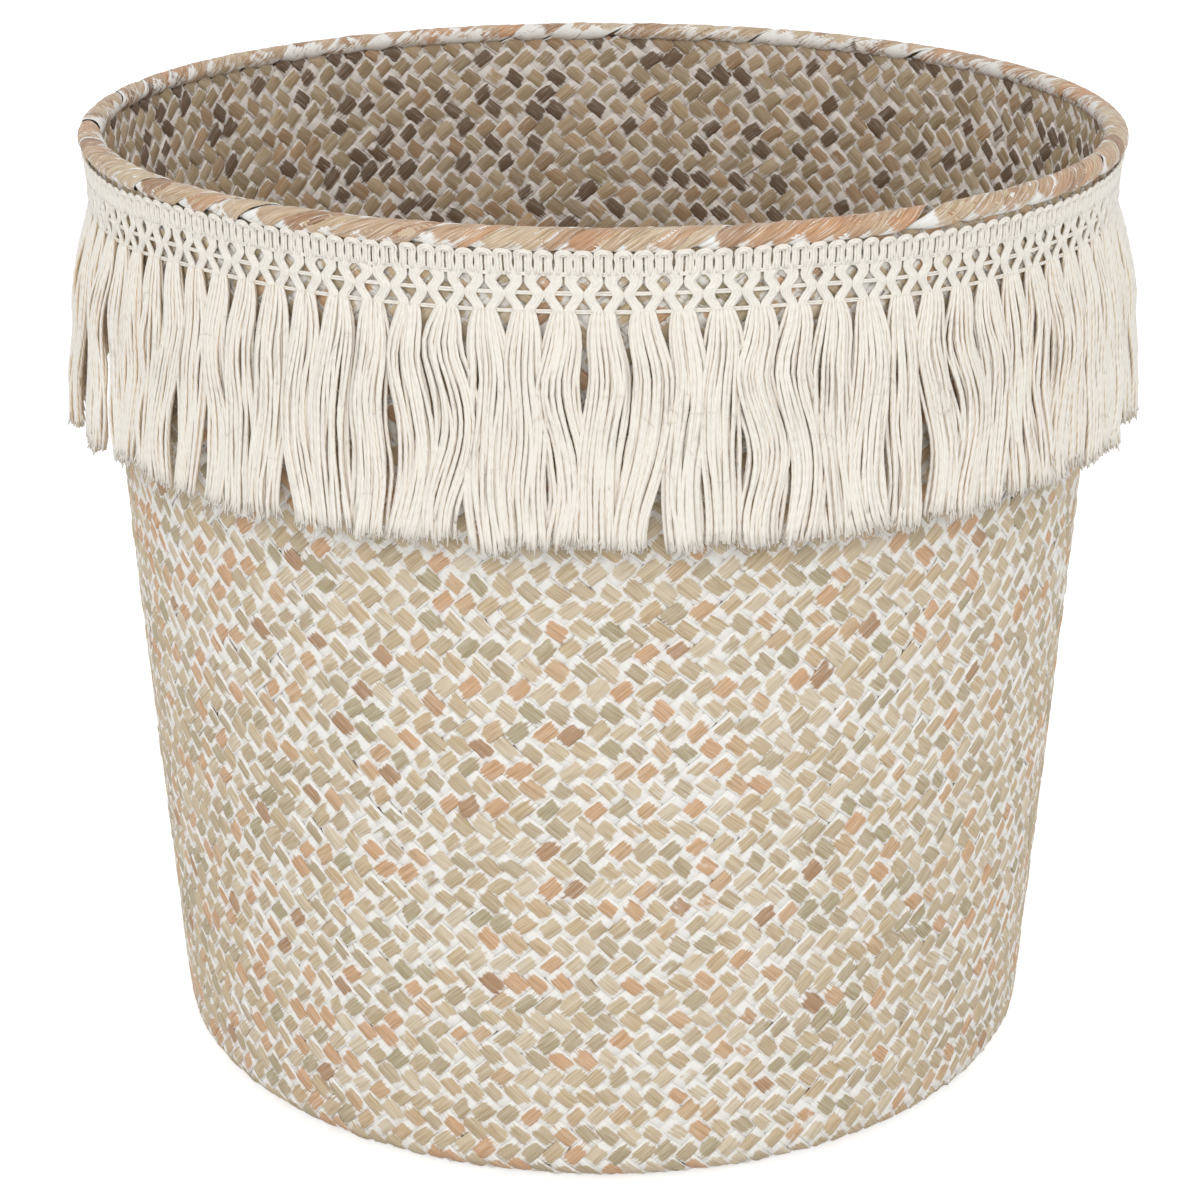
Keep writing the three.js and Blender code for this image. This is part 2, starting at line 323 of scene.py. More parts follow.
class Heap:
    """Collects batches of tubes, their numbers and their flat maps into one mesh."""

    def __init__(self):
        self.batches, self.values, self.count = [], {}, 0

    def add(self, points, values, closed=False):
        """Adds tubes. Their points' axes are tube, ring, side and xyz.

        Each value has the first three of these axes, or spreads to them. The faces of every tube
        are turned over if the first tube's point inwards.
        """
        tubes, rings, sides = points.shape[:3]
        flat = points.reshape(-1, 3)
        quads = tube_faces(tubes, rings, sides, closed)
        fans = np.empty((0, 3), int) if closed else cap_faces(tubes, rings, sides)
        run = np.linalg.norm(np.diff(points[0, :, 0], axis=0), axis=-1).sum()
        round_it = points[0, rings // 2]
        girth = np.linalg.norm(round_it - np.roll(round_it, 1, 0), axis=-1).sum()
        faces = [quads + self.count, fans + self.count]
        faces += bake_places(tubes, rings, sides, closed, run / girth)
        if signed_volume(flat - flat.mean(0), quads[: (rings - 1) * sides]) < 0:
            faces = [corners[:, ::-1] for corners in faces]
        self.batches.append((flat, *faces))
        for name, value in values.items():
            spread = np.broadcast_to(value, (tubes, rings, sides)).reshape(-1)
            self.values.setdefault(name, []).append(spread)
        self.count += len(flat)

    def mesh(self, name):
        """One mesh with every batch; the batches' flat maps lie side by side, by their size."""
        points, quads, fans, quad_map, fan_map = zip(*self.batches)
        shares = np.array([len(part) for part in quads], float)
        edges = np.concatenate([[0], np.cumsum(shares / shares.sum())])
        for low, high, *maps in zip(edges, edges[1:], quad_map, fan_map):
            for places in maps:
                places[..., 0] = low + places[..., 0] * (high - low)
        points, quads, fans = (np.concatenate(parts) for parts in (points, quads, fans))
        corners = np.concatenate([quads.reshape(-1), fans.reshape(-1)])
        sizes = np.repeat([4, 3], [len(quads), len(fans)])
        starts = np.concatenate([[0], np.cumsum(sizes)[:-1]])
        places = np.concatenate([part.reshape(-1) for part in quad_map + fan_map])
        mesh = bpy.data.meshes.new(name)
        mesh.vertices.add(len(points))
        mesh.vertices.foreach_set("co", points.astype(np.float32).ravel())
        mesh.loops.add(len(corners))
        mesh.loops.foreach_set("vertex_index", corners.astype(np.int32))
        mesh.polygons.add(len(sizes))
        mesh.polygons.foreach_set("loop_start", starts.astype(np.int32))
        mesh.polygons.foreach_set("use_smooth", np.ones(len(sizes), bool))
        for key, parts in self.values.items():
            made = mesh.attributes.new(key, "FLOAT", "POINT")
            made.data.foreach_set("value", np.concatenate(parts).astype(np.float32))
        mesh.uv_layers.new(name="OFBake").data.foreach_set("uv", places.astype(np.float32))
        mesh.update(calc_edges=True)
        mesh.validate()
        return mesh


def place(heap, name, material, replaced):
    """Makes a piece of the heap, which rides on the basket and stands for these CAD nodes."""
    piece = bpy.data.objects.new(name, heap.mesh(name))
    piece.data.materials.append(material)
    bpy.context.scene.collection.objects.link(piece)
    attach(piece, BODY)
    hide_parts(*replaced)


def unit(vectors):
    """The vectors in the last axis, at length 1."""
    return vectors / (np.linalg.norm(vectors, axis=-1, keepdims=True) + 1e-12)


def outward_at(points):
    """The level direction away from the basket's middle line."""
    return unit(points * np.array([1.0, 1.0, 0.0]))


def round_tube(path, radius, sides):
    """A tube of circles square to a path: axes tube, ring, xyz in, tube, ring, side, xyz out."""
    along = unit(np.gradient(path, axis=1))
    outward = outward_at(path)
    outward = unit(outward - along * (outward * along).sum(-1, keepdims=True))
    sideways = np.cross(along, outward)
    turn = TURN * np.arange(sides)[:, None] / sides
    circle = np.cos(turn) * outward[:, :, None] + np.sin(turn) * sideways[:, :, None]
    radius = np.broadcast_to(radius, path.shape[:2])
    return path[:, :, None] + circle * radius[:, :, None, None]


def distance_along(path):
    """Length from the start of each path: axes tube, ring in and out."""
    steps = np.linalg.norm(np.diff(path, axis=1), axis=-1)
    return np.concatenate([np.zeros((len(path), 1)), np.cumsum(steps, axis=1)], axis=1)


# Finishes


class Value:
    """The output of a shader node. Sums written on it add Math nodes to its tree."""

    def __init__(self, socket):
        self.socket, self.tree = socket, socket.id_data

    def calc(self, operation, *others):
        """The result of a sum on this value and others, or on numbers."""
        return output(self.tree, "Math", dict(enumerate([self, *others])), operation=operation)

    def __add__(self, other):
        return self.calc("ADD", other)

    def __sub__(self, other):
        return self.calc("SUBTRACT", other)

    def __mul__(self, other):
        return self.calc("MULTIPLY", other)

    def ease(self, low, high):
        """0 below low, 1 above high, with level ends."""
        inputs = {"Value": self, "From Min": low, "From Max": high}
        return output(self.tree, "MapRange", inputs, interpolation_type="SMOOTHSTEP")

    def redraw(self, factor):
        """Another number from 0 to 1 out of a drawn one: the fraction of it times a factor."""
        return (self * factor).calc("FRACT")

    def noise(self, scale, detail):
        """Soft noise at this place, about 0.5 on average."""
        inputs = {"Vector": self, "Scale": scale, "Detail": detail}
        return output(self.tree, "TexNoise", inputs)


def feed(sockets, inputs):
    """Gives sockets their inputs: values, numbers or colours of three numbers."""
    for key, given in inputs.items():
        if isinstance(given, Value):
            given.tree.links.new(given.socket, sockets[key])
        elif sockets[key].type == "RGBA":
            sockets[key].default_value = (*given, 1.0)
        else:
            sockets[key].default_value = given


def add_node(tree, kind, inputs=None, **settings):
    """A shader node with its settings; an input is a value, a number or a colour."""
    made = tree.nodes.new("ShaderNode" + kind)
    for key, value in settings.items():
        setattr(made, key, value)
    feed(made.inputs, inputs or {})
    return made


def output(tree, kind, inputs=None, key=0, **settings):
    """One output of a new node."""
    return Value(add_node(tree, kind, inputs, **settings).outputs[key])


def mixed(tree, share, first, second, blend="MIX"):
    """The first colour with a share of the second over it, laid on as blend says."""
    made = add_node(tree, "Mix", data_type="RGBA", blend_type=blend, clamp_factor=True)
    sockets = {socket.identifier: socket for socket in made.inputs}
    feed(sockets, {"Factor_Float": share, "A_Color": first, "B_Color": second})
    return Value(next(s for s in made.outputs if s.identifier == "Result_Color"))


def start_group(name, inputs, outputs, kind="Float"):
    """An empty node group; its inputs are numbers, and its outputs numbers or another kind."""
    tree = bpy.data.node_groups.new(name, "ShaderNodeTree")
    for label in inputs:
        tree.interface.new_socket(name=label, in_out="INPUT", socket_type="NodeSocketFloat")
    for label in outputs:
        tree.interface.new_socket(name=label, in_out="OUTPUT", socket_type="NodeSocket" + kind)
    given = {socket.name: Value(socket) for socket in tree.nodes.new("NodeGroupInput").outputs}
    return tree, given, tree.nodes.new("NodeGroupOutput").inputs


def use_group(tree, name, inputs):
    """The values that a node group gives for these inputs."""
    made = add_node(tree, "Group", inputs, node_tree=bpy.data.node_groups[name])
    return {socket.name: Value(socket) for socket in made.outputs}


def grain_group():
    """Lengthwise grain: noise drawn out along a strand, and finer lines inside it."""
    tree, given, result = start_group(
        "lengthwise grain", ("Along", "Across", "Seed", "Lines"), ("Grain", "Lines")
    )
    run, side, shift = given["Along"] * 120.0, given["Across"] * given["Lines"], given["Seed"] * 57.0
    for label, finer, detail in (("Grain", 1.0, 3.0), ("Lines", 2.7, 2.0)):
        where = output(tree, "CombineXYZ", {"X": run, "Y": side * finer, "Z": shift})
        feed(result, {label: where.noise(1.0, detail)})


def paint_group():
    """Whitewash that is rubbed off the raised middle of each float and stays round its edges.

    The cover is the larger of how near the end and how near the side a point is, with more at the
    corners. Blots, brush streaks along the grain and each float's own draw push it to and fro, and
    the draw also moves the bare patch aside. Scratches are thin lines of paint along the grain.
    """
    inputs = ("Reach", "Across", "Grain", "Lines", "Blots", "Draw", "Cover", "Edges", "Scratches")
    _, given, result = start_group("whitewash", inputs, ("Mask",))
    reach, across, grain, lines, blots, draw, cover, edges, scratches = map(given.get, inputs)
    aside = draw.redraw(7.3) * 0.36 - 0.18
    side = (across + aside).calc("ABSOLUTE").ease(0.6, 1.06)
    end = reach.ease(0.3, 0.95)
    edge = (side.calc("MAXIMUM", end) + side * end * 1.2) * edges
    streak = (grain - 0.5) * (end * 0.8 + 0.7)
    own = draw.calc("POWER", 3.0) * 0.42 + cover
    rubbed = (edge + streak + own + blots - 0.5).ease(0.3, 0.8)
    scratch = lines.ease(0.6, 0.68) * scratches
    feed(result, {"Mask": rubbed.calc("MAXIMUM", scratch)})


def reed_group(name, stops, stain_and_painted_shade, low_shade):
    """A reed colour picked by a number from 0 to 1, toned by its grain.

    Inside, the colours are closer together and darkened by painted shade, and about one float in
    five is stained, in a dark colour that holds painted shade too.
    """
    painted_inside_shade_dark, painted_inside_shade_pale, fibre = (0.55, 0.49, 0.44), (0.89, 0.83, 0.77), (0.86, 0.79, 0.66)
    labels = ("Pick", "Grain", "Lines", "Inner", "Stain")
    tree, given, result = start_group(name, labels, ("Colour",), "Color")
    pick, grain, lines, inner, stain = map(given.get, labels)
    ramp = add_node(tree, "ValToRGB", {"Fac": pick})
    points = ramp.color_ramp.elements
    while len(points) < len(stops):
        points.new(1.0)
    for point, (where, shade) in zip(points, stops):
        point.position = where
        point.color = (*shade, 1.0)
    picked = Value(ramp.outputs[0])
    # Inside, painted shade: the colour is drawn towards olive and multiplied by a shade that differs
    # from float to float
    even = mixed(tree, 0.55, picked, stops[1][1])
    shade = mixed(tree, stain, painted_inside_shade_dark, painted_inside_shade_pale)
    inside_in_painted_shade = mixed(tree, 1.0, even, shade, "MULTIPLY")
    plain = mixed(tree, inner, picked, inside_in_painted_shade)
    # About one inside float in five takes the dark stained colour, which carries painted shade as
    # well
    plain = mixed(tree, stain.calc("LESS_THAN", inner * 0.22) * 0.8, plain, stain_and_painted_shade)
    low = mixed(tree, 1.0, plain, low_shade, "MULTIPLY")
    toned = mixed(tree, grain.ease(0.28, 0.60), low, plain)
    pale = mixed(tree, 0.45, toned, fibre)
    feed(result, {"Colour": mixed(tree, lines.ease(0.55, 0.72) * 0.4, toned, pale)})


def reed_groups(colours):
    """The colours of the plait and of the binding, each in the order that a pick runs through."""
    plait = ("green", "olive", "tan", "cream", "tan", "orange", "orange", "brown")
    plait_at = (0.0, 0.22, 0.42, 0.54, 0.66, 0.8, 0.95, 1.0)
    binding = ("brown", "tan", "yellow", "tan", "orange", "brown")
    binding_at = (0.0, 0.2, 0.4, 0.58, 0.8, 1.0)
    for name, kind, shades, places, low_shade in (
        ("plait colour", "reed_", plait, plait_at, (0.76, 0.70, 0.62)),
        ("binding colour", "rim_", binding, binding_at, (0.64, 0.56, 0.48)),
    ):
        stops = [(where, getattr(colours, kind + shade)) for where, shade in zip(places, shades)]
        reed_group(name, stops, colours.reed_dark, low_shade)


def finish(name, settings):
    """A material with these settings on its Principled shader, ready for nodes."""
    material = bpy.data.materials.new(name)
    material.use_nodes = True
    inputs = material.node_tree.nodes["Principled BSDF"].inputs
    feed(inputs, settings)
    return material, material.node_tree, inputs


def numbers_of(tree, *names):
    """Numbers kept in the piece's own mesh."""
    return (output(tree, "Attribute", None, "Fac", attribute_name=name) for name in names)


def emboss(inputs, height, depth):
    """Shades a surface as if its heights, from 0 to 1, stood out by this depth."""
    settings = {"Height": height, "Strength": 0.5, "Distance": depth}
    feed(inputs, {"Normal": output(height.tree, "Bump", settings)})


def reed_material(name, palette, colours, cover, lines, roughness, edges, scratches):
    """Painted reed: a colour to each strand and float, grain, and whitewash round every float.

    The paint lies in patches, and is thinner on the inside and towards the foot.
    """
    material, tree, inputs = finish(name, {"Specular IOR Level": 0.3})
    keys = ("along", "across", "reach", "strand", "draw", "inner")
    along, across, reach, strand, draw, inner = numbers_of(tree, *keys)
    laid = {"Along": along, "Across": across, "Seed": strand + draw, "Lines": lines}
    grain = use_group(tree, "lengthwise grain", laid)
    pick = strand * 0.45 + draw * 0.75 - 0.1
    # Inner brings in the painted shade of the inside floats
    picked = {**grain, "Pick": pick, "Inner": inner, "Stain": draw.redraw(41.7)}
    reed = use_group(tree, palette, picked)["Colour"]
    where = output(tree, "TexCoord", None, "Object")
    height = output(tree, "SeparateXYZ", {"Vector": where}, "Z")
    patches = where.noise(22.0, 2.0) * 0.95 - 0.57
    brushed = {
        **grain,
        "Reach": reach,
        "Across": across,
        "Blots": where.noise(420.0, 1.0),
        "Draw": draw.redraw(17.31),
        "Cover": patches + height.ease(0.0, 0.1) * 0.1 + inner * -0.1 + cover,
        "Edges": edges,
        "Scratches": scratches,
    }
    mask = use_group(tree, "whitewash", brushed)["Mask"]
    white = mixed(tree, inner, colours.paint, colours.inner_paint)
    low = mixed(tree, 1.0, white, (0.88, 0.86, 0.83), "MULTIPLY")
    white = mixed(tree, grain["Lines"].ease(0.25, 0.55), low, white)
    shown = mixed(tree, mask, reed, white)
    feed(inputs, {"Base Color": shown, "Roughness": mask * 0.2 + roughness})
    emboss(inputs, mask * 0.6 + grain["Lines"], 0.12 * MM)
    return material


def yarn_material(name, colours, twist, shade):
    """Cotton yarn: two plies wind round it as slanting ribs, pale on top and in painted warm shade
    between.

    The side that faces the basket has painted warm shade too, and each yarn has a tone of its own.
    """
    settings = {
        "Roughness": 0.95,
        "Specular IOR Level": 0.15,
        "Sheen Weight": 0.4,
        "Sheen Roughness": 0.5,
    }
    material, tree, inputs = finish(name, settings)
    along, round_it, strand = numbers_of(tree, "along", "round", "strand")
    wind = along * twist + round_it * 2.0
    rib = ((wind + strand) * TURN).calc("SINE") * 0.5 + 0.5
    where = output(tree, "TexCoord", None, "Object")
    fuzz, clouds = where.noise(1400.0, 2.0), where.noise(60.0, 2.0)
    # Low tone is painted shade between the plies' ribs and on the side towards the basket, mixed
    # with each yarn's own tone and soft clouds
    tone = rib * 0.3 + strand * 0.2 + clouds * 0.2 + round_it.ease(0.3, 0.85) * 0.5
    # The shade colour, reached where tone is low, is painted shade: the shade argument sets how far
    # it goes
    low = mixed(tree, shade, colours.cotton, colours.cotton_painted_shade_and_tone)
    feed(inputs, {"Base Color": mixed(tree, tone.ease(0.2, 0.8), low, colours.cotton)})
    emboss(inputs, fuzz * 0.5 + rib, 0.1 * MM)
    return material


def cane_material(colours):
    """Split cane: brown, with darker lines along it."""
    material, tree, inputs = finish("split cane", {"Roughness": 0.7})
    lines = output(tree, "TexCoord", None, "Object").noise(900.0, 3.0)
    dark = [value * 0.5 for value in colours.cane]
    feed(inputs, {"Base Color": mixed(tree, lines.ease(0.35, 0.65), dark, colours.cane)})
    return material


# The plait

# A strand's section: places across in halves of its width, and heights in thicknesses
SECTION_ACROSS = np.array([-1.0, -0.74, 0.74, 1.0, 0.74, -0.74])
SECTION_UP = np.array([0.0, 0.5, 0.5, 0.0, -0.5, -0.5])


def crossings(wall, plait):
    """How the strands lean and cross on the way down the wall.

    Strands of a fixed width lie side by side, so the sine of their lean is the pitch over the
    room that each has round the wall, and they gain angle at the cotangent of the lean over the
    radius. One more strand is crossed each time that two that lean apart have drawn one spacing
    away from each other. Returns the count of crossings, and s, the angle gained, the strand's
    length and the sine of its lean where each count is reached.
    """
    s = np.linspace(0, wall.s[-1], 3000)
    radius = wall.radius_at(s)
    sine = np.clip(plait.strand_pitch * plait.strands / (TURN * radius), 0.2, 0.98)
    step = np.diff(s, prepend=0)
    angle = np.cumsum(np.sqrt(1 - sine**2) / sine / radius * step)
    return angle * plait.strands / math.pi, (s, angle, np.cumsum(step / sine), sine)


def twill_steps(last):
    """Where rings are set along a strand, counted in crossings: close together where it dives."""
    centre = np.arange(-1.5, last + 2, 2.0)[:, None]
    steps = (centre + np.array([0.0, 0.6, 0.87, 0.9, 1.1, 1.13, 1.4])).reshape(-1)
    return np.concatenate([[0.0], steps[(steps > 0.05) & (steps < last - 0.05)], [last]])


def off_float(count):
    """Crossings from the middle of the nearest float on top; one comes every four crossings."""
    return np.abs((count - 0.5 + 2) % 4 - 2)


def twill_lift(count):
    """Over two, under two: 1 on top of the float, -1 beneath, and an eased dive between."""
    return 1 - 2 * smooth((off_float(count) - 0.6) / 0.8)


def floats_seen(steps, direction):
    """The number of the float that each corner of each ring belongs to.

    A float shows a little past its ends on its own face, so it reaches 1.1 crossings from its
    middle there, and the floats beside it begin after that.
    """
    over = 0 if direction > 0 else 2
    away = steps[:, None] - 0.5
    raised = 4 * np.round((away - over) / 4) + over
    sunk = 4 * np.round((away - over - 2) / 4) + over + 2
    reach = np.where(SECTION_UP < 0, 0.885, 1.115)
    middle = np.where(np.abs(away - raised) < reach, raised, sunk)
    return (middle / 2).astype(int) + 1


def float_reach(steps, own):
    """How near its float's ends a corner is: 0 in the middle and 1 at an end.

    Each float's own number moves the bare patch along it and slants the patch's ends.
    """
    along = ((steps + 0.5) % 2 - 1)[:, None]
    aside, slant = (own[:, :, None] * factor % 1 - 0.5 for factor in (29.3, 53.9))
    reach = np.abs(along)
    moved = 0.5 * aside + 0.45 * slant * SECTION_ACROSS
    return reach + np.sign(along) * moved * (1 - reach**4)


def strand_batch(wall, plait, chosen, direction, draw):
    """Strands that lean one way: flat six-cornered sections carried down the twill path.

    A strand sways, swells and narrows in slow waves along it. Each of its floats lies at its own
    height and tilt. Further than a few strands from both edges, all wander with the wall.
    """
    count, path = crossings(wall, plait)
    steps = twill_steps(count[-1])
    s, gained, run, sine = (np.interp(steps, count, values)[:, None] for values in path)
    radius = wall.radius_at(s)
    strands = len(chosen)
    phase = draw.uniform(0, TURN, (strands, 3, 1))
    sway = sum(np.sin(steps * rate + phase[:, i]) for i, rate in enumerate((0.23, 0.61, 1.9)))
    width = plait.strand_width * draw.uniform(0.94, 1.05, (strands, 1))
    width = width * (1 + 0.05 * np.sin(steps * 0.37 + phase[:, 1]))
    thick = plait.strand_thickness * draw.uniform(0.85, 1.1, (strands, 1, 1))
    lift = direction * twill_lift(steps)
    number = np.floor((steps + 0.5) / 2).astype(int) + 1
    draws = draw.uniform(0, 1, (strands, number.max() + 2))
    swell = 0.88 + 0.18 * draws[:, ::-1][:, number]
    half_play = (plait.thickness - plait.strand_thickness) / 2
    tilt = draw.normal(0, 0.08, (strands, number.max() + 2))[:, number]
    across = width[:, :, None] / 2 * SECTION_ACROSS + 0.08 * MM * sway[:, :, None]
    out = (lift * half_play * swell)[:, :, None] + thick * SECTION_UP + across * tilt[:, :, None]
    down = s - direction * np.sqrt(1 - sine**2) * across
    angle = TURN * chosen[:, None, None] / plait.strands + direction * gained
    angle = angle + sine * across / radius
    loose = smooth(down / (20 * MM)) * smooth((wall.s[-1] - down) / (12 * MM))
    down = down + wander(angle, down, seed=11, size=0.5 * MM) * loose
    angle = angle + wander(angle, down, seed=12, size=0.45 * MM) * loose / radius
    points = wall.point(np.clip(down, 0, wall.s[-1]), angle, out)
    points[..., 2] = np.maximum(points[..., 2], ABOVE_FLOOR)
    values = {
        "along": run + draw.uniform(0, 1, (strands, 1, 1)),
        "across": SECTION_ACROSS,
        "reach": float_reach(steps, draws[:, number]),
        "strand": draw.uniform(0, 1, (strands, 1, 1)),
        "draw": draws[:, floats_seen(steps, direction)],
        # inner marks the floats that lie on the inside face; the finish paints shade on them
        "inner": smooth(-2.5 * lift)[:, None],
    }
    return points, values


class BASKET_OT_plait_wall(bpy.types.Operator):
    """Plaits the wall from strands that lean both ways, from under the rim to under the base"""

    bl_idname = "basket.plait_wall"
    bl_label = "Plait the wall"

    def execute(self, context):
        plait, rim, _, colours = measures()
        wall = Wall(plait, rim)
        material = reed_material(
            "painted reed",
            "plait colour",
            colours,
            cover=-0.11,
            lines=4.6,
            roughness=0.62,
            edges=1.0,
            scratches=0.3,
        )
        draw = np.random.default_rng(7)
        parts = 3
        for direction, side in ((1, "right"), (-1, "left")):
            for part in range(parts):
                chosen = np.arange(part, plait.strands, parts)
                heap = Heap()
                heap.add(*strand_batch(wall, plait, chosen, direction, draw))
                name = f"wall_strands_{side}_{part + 1}"
                place(heap, name, material, ["plaited_wall"])
        return {"FINISHED"}


def base_strand(plait, reach, number, direction, draw):
    """One strand of the base: a chord of the circle that the base reaches, woven like the wall.

    Strands are numbered from the middle, and steps count crossings from the chord's middle.
    """
    pitch = plait.strand_pitch
    half = math.sqrt(reach**2 - (number * pitch) ** 2) / pitch
    dives = np.arange(math.ceil((number - half) / 2) * 2 - 2, half + number + 3, 2.0)[:, None]
    marks = (dives + np.array([0.08, 0.5, 0.92, 1.5])).reshape(-1) - number
    marks = marks[(marks > -half + 0.1) & (marks < half - 0.1)]
    steps = np.concatenate([[-half], marks, [half]])
    lift = direction * twill_lift(steps + number - 1)
    half_play = (plait.thickness - plait.strand_thickness) / 2
    out = lift * half_play * smooth((half - np.abs(steps)) / 0.9)
    width = plait.strand_width * draw.uniform(0.88, 1.04)
    sideways = number * pitch + draw.normal(0, 0.1 * MM)
    run, across = (steps * pitch)[:, None], width / 2 * SECTION_ACROSS + sideways
    x, y = (run, across) if direction > 0 else (across, run)
    up = plait.thickness / 2 + out[:, None] + plait.strand_thickness * SECTION_UP
    turned = [(x - y) / math.sqrt(2), (x + y) / math.sqrt(2), np.maximum(up, ABOVE_FLOOR)]
    ids = np.floor((steps + number - 0.5) / 2).astype(int)
    draws = draw.uniform(0, 1, ids.max() - ids.min() + 1)
    away = off_float(steps + number - 1)
    values = {
        "along": run + draw.uniform(0, 1),
        "across": SECTION_ACROSS,
        "reach": np.minimum(away, 2 - away)[:, None],
        "strand": draw.uniform(0, 1),
        "draw": draws[ids - ids.min()][:, None],
        # inner marks the top face of the base, inside the basket; the finish paints shade on it
        "inner": smooth(2.5 * lift)[:, None],
    }
    return np.stack(np.broadcast_arrays(*turned), -1)[None], values


class BASKET_OT_plait_base(bpy.types.Operator):
    """Plaits the flat of the base as a square twill cut to a circle"""

    bl_idname = "basket.plait_base"
    bl_label = "Plait the base"

    def execute(self, context):
        plait, rim, _, _ = measures()
        reach = Wall(plait, rim).turn_centre - SEAT
        last = int(reach / plait.strand_pitch - 0.5)
        draw = np.random.default_rng(8)
        heap = Heap()
        for direction in (1, -1):
            for number in range(-last, last + 1):
                heap.add(*base_strand(plait, reach, number, direction, draw))
        material = bpy.data.materials["painted reed"]
        place(heap, "base_mat", material, ["plaited_base"])
        return {"FINISHED"}


# The rim


def wrap_batch(rim, draw):
    """The binding's strands: flat sections with full edges, carried round an oval at a lean.

    At a turn a round the roll, a strand has travelled a times the roll's mean radius over the
    tangent of its lean. It lies over the strand before it, and both its ends tuck in under the
    roll.
    """
    wraps = (rim.wraps, 1, 1)
    radius = rim.radius - rim.roll_across
    mean = (rim.roll_across + rim.roll_up) / 2
    spots = np.linspace(0, 1, 26)[:, None]
    fan = TURN * np.arange(10) / 10
    flat = np.cos(fan) / np.maximum(np.abs(np.cos(fan)), np.abs(np.sin(fan))) ** 0.35
    flat /= flat.max()
    start = np.arange(rim.wraps)[:, None, None] + draw.normal(0, 0.24, wraps)
    lean = rim.lean + draw.normal(0, math.radians(4), wraps)
    width = rim.wrap_width * draw.uniform(0.85, 1.25, wraps)
    low = math.radians(-96) + draw.normal(0, 0.1, wraps)
    high = math.radians(252) + draw.normal(0, 0.1, wraps)
    turn = low + (high - low) * spots
    phase = draw.uniform(0, TURN, wraps)
    across = width / 2 * flat + 0.25 * MM * np.sin(turn * 1.7 + phase)
    travel = (turn - low) * mean
    angle = TURN * start / rim.wraps + (travel / np.tan(lean) + across * np.sin(lean)) / radius
    at = turn - across * np.cos(lean) / mean
    layer = draw.normal(0, 0.04 * MM, wraps) + 0.045 * across
    crown = 0.12 * MM * (1 - flat**2)
    body = rim.wrap_thickness / 2 * np.sin(fan) * draw.uniform(0.8, 1.2, wraps)
    ripple = 0.08 * MM * np.sin(turn * 5 + 2 * phase)
    tuck = 1 - smooth((spots - 0.04) / 0.12) + smooth((spots - 0.86) / 0.12)
    out = layer + crown + body + ripple - 0.75 * MM * tuck - 0.45 * MM
    points = polar(
        radius + (rim.roll_across + out) * np.cos(at),
        angle,
        rim.height + (rim.roll_up + out) * np.sin(at) * (1 + 0.1 * smooth(-at / 1.2)),
    )
    values = {
        "along": travel / np.sin(lean) + draw.uniform(0, 1, wraps),
        "across": 0.93 * flat,
        "reach": 1.2 * smooth((0.42 - spots) / 0.34) + 0.8 * smooth((spots - 0.52) / 0.25),
        "strand": draw.uniform(0, 1, wraps),
        "draw": draw.uniform(0, 1, wraps),
        # inner marks the roll's side towards the inside of the basket; the finish paints shade there
        "inner": 0.4 * smooth((turn - 2.4) / 0.8),
    }
    return points, values


class BASKET_OT_bind_rim(bpy.types.Operator):
    """Winds overlapping strands at a slant round the hoop and the top of the wall"""

    bl_idname = "basket.bind_rim"
    bl_label = "Bind the rim"

    def execute(self, context):
        _, rim, _, colours = measures()
        heap = Heap()
        heap.add(*wrap_batch(rim, np.random.default_rng(9)))
        material = reed_material(
            "bound reed",
            "binding colour",
            colours,
            cover=-0.2,
            lines=7.0,
            roughness=0.5,
            edges=0.9,
            scratches=1.0,
        )
        place(heap, "rim_wraps", material, ["rim_binding"])
        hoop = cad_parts["rim_hoop"]
        hoop.data.materials.clear()
        hoop.data.materials.append(cane_material(colours))
        return {"FINISHED"}


# The fringe


class Trim:
    """The sheet on which the cotton lies: x along the wall, y down from the heading's lower edge.

    The heading sits a little lower round most of the basket than at the front, so y starts from
    a height that dips with the angle. out is the distance from the plait.
    """

    DIP = 1.7 * MM

    def __init__(self, wall, rim, fringe):
        self.wall, self.fringe = wall, fringe
        self.edge = rim.height - rim.roll_up - SEAT - fringe.heading

    def height(self, angle, y):
        """The height above the floor; the dip fades towards the cut ends."""
        right = smooth((np.sin(angle) - 0.30) / 0.35)
        left = smooth((-np.sin(angle) - 0.72) / 0.18)
        back = smooth((-np.cos(angle) - 0.1) / 0.5)
        dip = np.maximum(np.maximum(right, left), back) * self.DIP
        return self.edge - dip * smooth(1.4 - np.abs(y) / (30 * MM)) - y

    def point(self, column, x, y, out):
        """Columns are tassel numbers; x is in metres from the column's middle line."""
        radius = self.wall.outer(self.edge - y) + out
        angle = TURN * column / self.fringe.tassels + x / radius
        return polar(radius, angle, self.height(angle, y))


def eased_path(marks, places, spots):
    """Places given at marks along a yarn, joined smoothly: a cubic through them at the spots."""
    slopes = np.gradient(places, marks)
    i = np.clip(np.searchsorted(marks, spots) - 1, 0, len(marks) - 2)
    room = marks[i + 1] - marks[i]
    t = (spots - marks[i]) / room
    level = (2 * t**3 - 3 * t**2 + 1) * places[i] + (3 * t**2 - 2 * t**3) * places[i + 1]
    slope = (t**3 - 2 * t**2 + t) * slopes[i] + (t**3 - t**2) * slopes[i + 1]
    return level + slope * room


